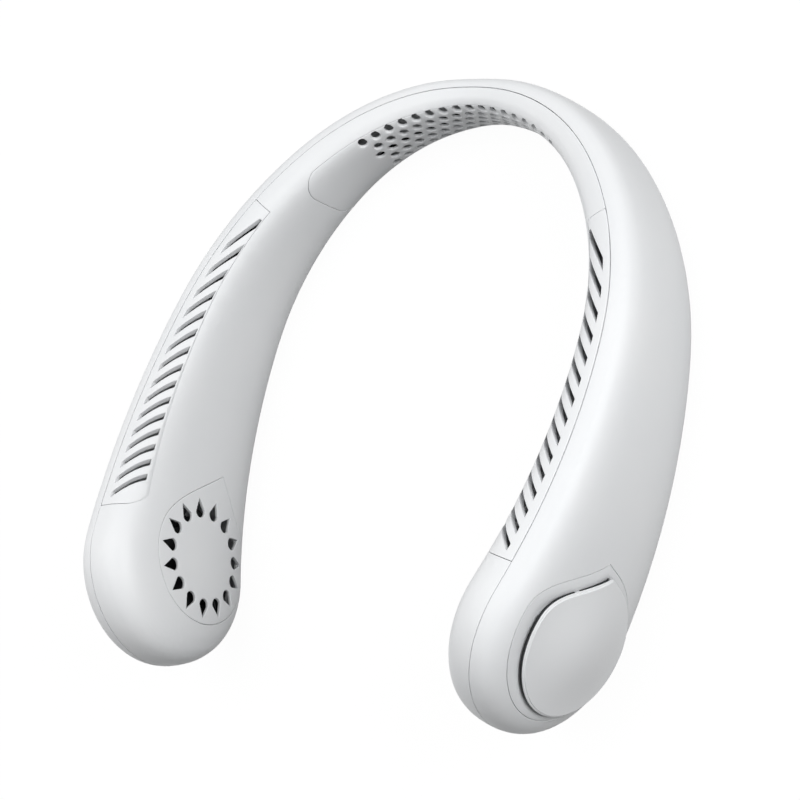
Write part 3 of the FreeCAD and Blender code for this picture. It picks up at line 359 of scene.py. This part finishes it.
# %% Helpers that copy a solid and put the finished piece in its place
MERGE_DISTANCE = 0.000004


def worked_copy(node_name, piece_name):
    """A copy of a solid's mesh with its loose triangles merged, left selected and active."""
    bpy.ops.object.select_all(action="DESELECT")
    piece = bpy.data.objects.new(piece_name, nodes[node_name].data.copy())
    bpy.context.scene.collection.objects.link(piece)
    bpy.context.view_layer.objects.active = piece
    piece.select_set(True)
    bpy.ops.mesh.customdata_custom_splitnormals_clear()
    bpy.ops.object.mode_set(mode="EDIT")
    bpy.ops.mesh.select_all(action="SELECT")
    bpy.ops.mesh.remove_doubles(threshold=MERGE_DISTANCE)
    bpy.ops.mesh.select_all(action="DESELECT")
    bpy.ops.object.mode_set(mode="OBJECT")
    return piece


def fit_to_frame(piece, body, node_name):
    """Puts a finished piece in place of its solid, on the same body and with the same finish."""
    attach(piece, body)
    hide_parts(node_name)
    put_on(piece, finishes[slot_of[node_name]])
    return piece


print("points closer than", MERGE_DISTANCE * 1000.0, "mm are merged")

# %% [markdown]
# Caps, dishes and the black sheets of painted shade are made once for each pod, and the left pod is the right
# one mirrored in X. Each is shaped round its pod's own axis, which points straight out of the pod, so the
# helpers here give that axis and find the flat outer end of a piece along it.

# %% Helpers for the pods
POD_CENTRE = Vector((0.07564132, -0.07015581, 0.031))
POD_AXIS = Vector((0.96363, -0.26724, 0.0)).normalized()
UP = Vector((0.0, 0.0, 1.0))
SIDES = (("right", 1), ("left", -1))
FLAT_COSINE = 0.999
FLAT_SLACK = 0.00001


def pod_place(hand):
    """The middle of one pod, and the axis that points straight out of it."""
    centre = Vector((hand * POD_CENTRE.x, POD_CENTRE.y, POD_CENTRE.z))
    axis = Vector((hand * POD_AXIS.x, POD_AXIS.y, POD_AXIS.z))
    return centre, axis


def reach_along(piece, out):
    """How far a piece reaches in one direction."""
    return max(vertex.co.dot(out) for vertex in piece.data.vertices)


def on_flat_end(face, out, top):
    """Whether a face is on the flat outer end of a piece that reaches as far as top."""
    return face.normal.dot(out) > FLAT_COSINE and face.center.dot(out) > top - FLAT_SLACK


print("pods are", round(2.0 * POD_CENTRE.x, 4), "m apart")

# %% [markdown]
# A lid that bulges and a key that is hollow are the same job: a flat face is turned into rings round its
# middle, and the middle is pulled out or pushed in. The face is extruded in place again and again, each time
# a little smaller, and proportional editing carries the rings along with the middle. Everything else is
# hidden first, so it stays put. Subdividing the face would work too, but it would not follow the outline.

# %% Helper that bends a flat face
def bend_face(shares, middle, pull, falloff, reach):
    """Turns the selected face into rings and pulls them, the middle most, then leaves edit mode."""
    bpy.ops.mesh.hide(unselected=True)
    share = 1.0
    for next_share in shares:
        bpy.ops.mesh.extrude_region()
        bpy.ops.transform.resize(value=[next_share / share] * 3, center_override=middle)
        share = next_share
    bpy.ops.mesh.select_mode(type="VERT")
    bpy.ops.mesh.merge(type="CENTER")
    bpy.ops.transform.translate(
        value=pull, use_proportional_edit=True, proportional_edit_falloff=falloff, proportional_size=reach)
    bpy.ops.mesh.reveal(select=False)
    bpy.ops.object.mode_set(mode="OBJECT")


print("helper ready:", bend_face.__name__)

# %% [markdown]
# The cap on the outer side of each pod is a drop-shaped lid that stands clear of the intake on three legs.
# Its solid is a plate with a tall edge. On the real one the edge is one thin round, so the plate is squeezed
# along the pod's axis, and the lid is sunk and moved a little in its dish, to where the photograph has it.
# The feet of the legs are left out of the squeeze. The flat top is made one face first, while it is easy to
# find.

# %% Helper for a cap's thin edge
CAP_THICKNESS = 0.0018
CAP_SLACK = 0.00005
EDGE_SHARE = 0.4
CAP_SINK = 0.0016
CAP_DROP = 0.002
CAP_FORWARD = 0.0006


def cap_shift(axis):
    """How far the cap sits below and in front of the middle of its dish, in the plane of the cap."""
    backwards = Vector((-axis.y, axis.x, 0.0)) * math.copysign(1.0, axis.x)
    return UP * -CAP_DROP - backwards * CAP_FORWARD


def thin_edge(cap, centre, axis):
    """Squeezes a cap's plate and moves the cap to its place, and gives the new middle of its flat top."""
    top = reach_along(cap, axis)
    middle = centre + axis * (top - centre.dot(axis))
    for face in cap.data.polygons:
        face.select = on_flat_end(face, axis, top)
    bpy.context.tool_settings.mesh_select_mode = (False, False, True)
    bpy.ops.object.mode_set(mode="EDIT")
    bpy.ops.mesh.dissolve_faces()
    bpy.ops.mesh.select_mode(type="VERT")
    bpy.ops.object.mode_set(mode="OBJECT")
    for vertex in cap.data.vertices:
        vertex.select = vertex.co.dot(axis) > top - CAP_THICKNESS - CAP_SLACK
    bpy.ops.object.mode_set(mode="EDIT")
    bpy.ops.transform.resize(
        value=(EDGE_SHARE, 1.0, 1.0), constraint_axis=(True, False, False), orient_type="GLOBAL",
        orient_matrix_type="GLOBAL", orient_matrix=(axis, UP.cross(axis), UP), center_override=middle)
    bpy.ops.transform.translate(value=axis * -CAP_SINK)
    bpy.ops.mesh.select_all(action="SELECT")
    bpy.ops.transform.translate(value=cap_shift(axis))
    bpy.ops.object.mode_set(mode="OBJECT")
    return middle + axis * -CAP_SINK + cap_shift(axis)


print("a cap's edge becomes", round(EDGE_SHARE * CAP_THICKNESS * 1000.0, 2), "mm thick")

# %% [markdown]
# On top, the lid is crowned like a watch glass. Its flat top is by now the face with the most corners of all.
# It is bent outwards with the smooth falloff, which is level in the middle and nearly level again at the rim,
# so the crown runs out into the thin edge without a crease.

# %% Crowned caps
CAP_CROWN = 0.0032
CROWN_REACH = 0.025
CROWN_SHARES = (0.985, 0.96, 0.92, 0.87, 0.81, 0.74, 0.66, 0.57, 0.47, 0.36, 0.24, 0.12)
CAP_SHARP_ANGLE = math.radians(35)


def crowned_cap(side, hand):
    """The cap of one pod, with a thin edge and a crowned top."""
    centre, axis = pod_place(hand)
    cap = worked_copy("outer_cap_" + side, "cap_" + side)
    middle = thin_edge(cap, centre, axis)
    bpy.ops.object.mode_set(mode="EDIT")
    bpy.ops.mesh.select_all(action="DESELECT")
    bpy.ops.mesh.select_mode(type="FACE")
    bpy.ops.object.mode_set(mode="OBJECT")
    max(cap.data.polygons, key=lambda face: len(face.vertices)).select = True
    bpy.ops.object.mode_set(mode="EDIT")
    bend_face(CROWN_SHARES, middle, axis * CAP_CROWN, "SMOOTH", CROWN_REACH)
    bpy.ops.object.shade_smooth_by_angle(angle=CAP_SHARP_ANGLE)
    crown = reach_along(cap, axis) - middle.dot(axis)
    print(cap.name, "crown:", round(crown * 1000.0, 2), "mm, faces:", len(cap.data.polygons))
    return fit_to_frame(cap, "collar", "outer_cap_" + side)


for side, hand in SIDES:
    crowned_cap(side, hand)

# %% [markdown]
# Air is drawn in through a narrow slit under the edge of the cap, and the casing dips a little towards it. In
# the solid the dish's rim runs on under the cap, so light gets into the slit. Here the top of the rim is
# deleted, which leaves two open edges, the pocket's and the seam's. These helpers tell them apart by their
# distance from the pod's axis, and count what is still open at the end.

# %% Helpers for open edges
POCKET_REACH = 0.02


def pick_open_edge(piece, centre, axis, inner):
    """Selects one of the two open edges of a dish: the pocket's, or the one along the seam."""
    bpy.ops.mesh.select_non_manifold(extend=False)
    bpy.ops.object.mode_set(mode="OBJECT")
    for edge in piece.data.edges:
        ends = [piece.data.vertices[index] for index in edge.vertices]
        reach = (ends[0].co - centre).cross(axis).length
        if edge.select and (reach < POCKET_REACH) != inner:
            edge.select = False
            ends[0].select = False
            ends[1].select = False
    bpy.ops.object.mode_set(mode="EDIT")


def count_open_edges(piece):
    """Leaves edit mode and counts the edges that lack a face on one side. A closed piece has none."""
    bpy.ops.mesh.select_mode(type="EDGE")
    bpy.ops.mesh.select_non_manifold(extend=False)
    bpy.ops.object.mode_set(mode="OBJECT")
    return len([edge for edge in piece.data.edges if edge.select])


print("an open edge within", POCKET_REACH * 1000.0, "mm of the axis is the pocket's")

# %% [markdown]
# The pocket's edge is pushed down, out of sight. The seam's edge is extruded in to the slit in four steps,
# which give the lip its soft turn, and then down, and the two edges are bridged. Each step is a share of the
# seam's outline, a rise from it, and a part of the way to the cap's own middle. A boolean cut would give a
# slit too, but not a lip that turns down to it.

# %% Intake dishes that end at the slit
RIM_LEVEL = 0.0116
RIM_COSINE = 0.5
SEAM_LEVEL = 0.013
RIM_STEPS = (
    (0.968, 0.00024, 0.25), (0.936, 0.00038, 0.5), (0.904, 0.00036, 0.75), (0.877, 0.00005, 1.0))
POCKET_DROP = 0.0018
SLIT_DEPTH = 0.0009
DISH_SHARP_ANGLE = math.radians(30)


def slit_dish(side, hand):
    """The intake dish of one pod, with its rim ending at the slit."""
    centre, axis = pod_place(hand)
    dish = worked_copy("intake_dish_" + side, "dish_" + side)
    for face in dish.data.polygons:
        face.select = (face.center - centre).dot(axis) > RIM_LEVEL and face.normal.dot(axis) > RIM_COSINE
    bpy.context.tool_settings.mesh_select_mode = (False, False, True)
    bpy.ops.object.mode_set(mode="EDIT")
    bpy.ops.mesh.delete(type="FACE")
    bpy.ops.mesh.select_mode(type="EDGE")
    pick_open_edge(dish, centre, axis, True)
    bpy.ops.transform.translate(value=axis * -POCKET_DROP)
    pick_open_edge(dish, centre, axis, False)
    seam_middle = centre + axis * SEAM_LEVEL
    share, rise, part = 1.0, 0.0, 0.0
    for next_share, next_rise, next_part in RIM_STEPS:
        bpy.ops.mesh.extrude_region()
        bpy.ops.transform.resize(value=[next_share / share] * 3, center_override=seam_middle)
        bpy.ops.transform.translate(value=axis * (next_rise - rise) + cap_shift(axis) * (next_part - part))
        share, rise, part = next_share, next_rise, next_part
    bpy.ops.mesh.extrude_region()
    bpy.ops.transform.translate(value=axis * -SLIT_DEPTH)
    bpy.ops.mesh.select_non_manifold(extend=False)
    bpy.ops.mesh.bridge_edge_loops()
    bpy.ops.mesh.select_all(action="SELECT")
    bpy.ops.mesh.normals_make_consistent(inside=False)
    still_open = count_open_edges(dish)
    print(dish.name, "faces:", len(dish.data.polygons), "open edges:", still_open)
    bpy.ops.object.shade_smooth_by_angle(angle=DISH_SHARP_ANGLE)
    return fit_to_frame(dish, "collar", "intake_dish_" + side)


for side, hand in SIDES:
    slit_dish(side, hand)

# %% [markdown]
# A black sheet stands in the slit, all the way round under the cap. It is painted shade: the slit is dark
# only because it lies in shadow, and the sheet makes it read as a thin black line. Its outline is the cap's
# own, a little inside, so it is made from the cap's flat top: the rest of a fresh copy is deleted, the top is
# made one face and inset, and the ring is extruded to a band.

# %% Black sheets of painted shade under the caps
SHADE_SHEET_TOP = 0.00235
SHADE_SHEET_HEIGHT = 0.00125
SHADE_SHEET_WALL = 0.0006
SHADE_SHEET_SHARP_ANGLE = math.radians(30)


def slit_shade_sheet(side, hand):
    """The black band of painted shade that fills the slit under one cap."""
    _, axis = pod_place(hand)
    dark_sheet = worked_copy("outer_cap_" + side, "slit_shade_sheet_" + side)
    top = reach_along(dark_sheet, axis)
    for face in dark_sheet.data.polygons:
        face.select = not on_flat_end(face, axis, top)
    bpy.context.tool_settings.mesh_select_mode = (False, False, True)
    bpy.ops.object.mode_set(mode="EDIT")
    bpy.ops.mesh.delete(type="FACE")
    bpy.ops.mesh.select_all(action="SELECT")
    bpy.ops.mesh.dissolve_faces()
    bpy.ops.mesh.inset(thickness=SHADE_SHEET_WALL, depth=0.0, use_boundary=True)
    bpy.ops.mesh.delete(type="FACE")
    bpy.ops.mesh.select_all(action="SELECT")
    bpy.ops.transform.translate(value=axis * -SHADE_SHEET_TOP + cap_shift(axis))
    bpy.ops.mesh.extrude_region()
    bpy.ops.transform.translate(value=axis * -SHADE_SHEET_HEIGHT)
    bpy.ops.mesh.select_all(action="SELECT")
    bpy.ops.mesh.normals_make_consistent(inside=False)
    still_open = count_open_edges(dark_sheet)
    print(dark_sheet.name, "faces:", len(dark_sheet.data.polygons), "open edges:", still_open)
    bpy.ops.object.shade_smooth_by_angle(angle=SHADE_SHEET_SHARP_ANGLE)
    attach(dark_sheet, "collar")
    # Black plastic here is painted shade: it stands in for the shadow in the slit.
    put_on(dark_sheet, finishes["wheel_plastic"])
    return dark_sheet


for side, hand in SIDES:
    slit_shade_sheet(side, hand)

# %% [markdown]
# The grilles, the inlet covers and the neck panel are thin covers full of openings, and the edge of every
# opening is a little soft. So are the two shells where they meet, which is why the seam reads as a fine dark
# line. A Bevel modifier rounds all the edges that turn sharply and leaves the smooth skin alone. A Weighted
# Normal modifier then lets the large faces set the shading, so the narrow rounds don't make the skin look
# dented.

# %% Covers and shells with soft edges
COVER_ROUND = 0.00015
COVER_SEGMENTS = 2
COVER_BEVEL_ANGLE = math.radians(40)
COVER_SHARP_ANGLE = math.radians(60)
COVERS = ("outer_shell", "inner_shell", "grille_right", "grille_left", "inlet_cover_right",
          "inlet_cover_left", "neck_panel")


def round_edges(piece, width, segments, angle, clamp):
    """Rounds every edge of a piece that turns more sharply than an angle."""
    rounding = piece.modifiers.new("soft_edges", "BEVEL")
    rounding.width = width
    rounding.segments = segments
    rounding.limit_method = "ANGLE"
    rounding.angle_limit = angle
    rounding.use_clamp_overlap = clamp
    bpy.ops.object.modifier_apply(modifier=rounding.name)


def soft_cover(node_name, piece_name):
    """A cover or shell with its edges rounded over."""
    cover = worked_copy(node_name, piece_name)
    round_edges(cover, COVER_ROUND, COVER_SEGMENTS, COVER_BEVEL_ANGLE, clamp=False)
    bpy.ops.object.shade_smooth_by_angle(angle=COVER_SHARP_ANGLE)
    shading = cover.modifiers.new("even_shading", "WEIGHTED_NORMAL")
    shading.keep_sharp = True
    bpy.ops.object.modifier_apply(modifier=shading.name)
    return fit_to_frame(cover, "collar", node_name)


for node_name in COVERS:
    cover = soft_cover(node_name, node_name + "_soft")
    print(cover.name, "faces:", len(cover.data.polygons))

# %% [markdown]
# The power button has a shallow hollow for the fingertip and a soft rim. The solid is a plain stud, so its
# end face is inset once to leave a rim, and the rest is bent inwards with the inverse square falloff, which
# is the parabola of a shallow dish. The rim is rounded last, when the hollow's edge is there to be rounded
# with it.

# %% Button with a finger hollow
BUTTON_OUT = Vector((-0.99606, -0.08869, 0.0)).normalized()
BUTTON_RIM = 0.0007
BUTTON_HOLLOW = 0.00045
HOLLOW_REACH = 0.0038
HOLLOW_SHARES = (0.9, 0.78, 0.64, 0.48, 0.3, 0.14)
RIM_ROUND = 0.00025
RIM_SEGMENTS = 3
RIM_BEVEL_ANGLE = math.radians(50)
BUTTON_SHARP_ANGLE = math.radians(40)

button = worked_copy("power_button", "button_hollowed")
top = reach_along(button, BUTTON_OUT)
ends = [vertex.co for vertex in button.data.vertices if vertex.co.dot(BUTTON_OUT) > top - FLAT_SLACK]
middle = sum(ends, Vector()) / len(ends)
for face in button.data.polygons:
    face.select = on_flat_end(face, BUTTON_OUT, top)
bpy.ops.object.mode_set(mode="EDIT")
bpy.ops.mesh.select_mode(type="FACE")
bpy.ops.mesh.dissolve_faces()
bpy.ops.mesh.inset(thickness=BUTTON_RIM, depth=0.0)
bend_face(HOLLOW_SHARES, middle, BUTTON_OUT * -BUTTON_HOLLOW, "INVERSE_SQUARE", HOLLOW_REACH)
round_edges(button, RIM_ROUND, RIM_SEGMENTS, RIM_BEVEL_ANGLE, clamp=True)
bpy.ops.object.shade_smooth_by_angle(angle=BUTTON_SHARP_ANGLE)
fit_to_frame(button, "button", "power_button")
print(button.name, "faces:", len(button.data.polygons))
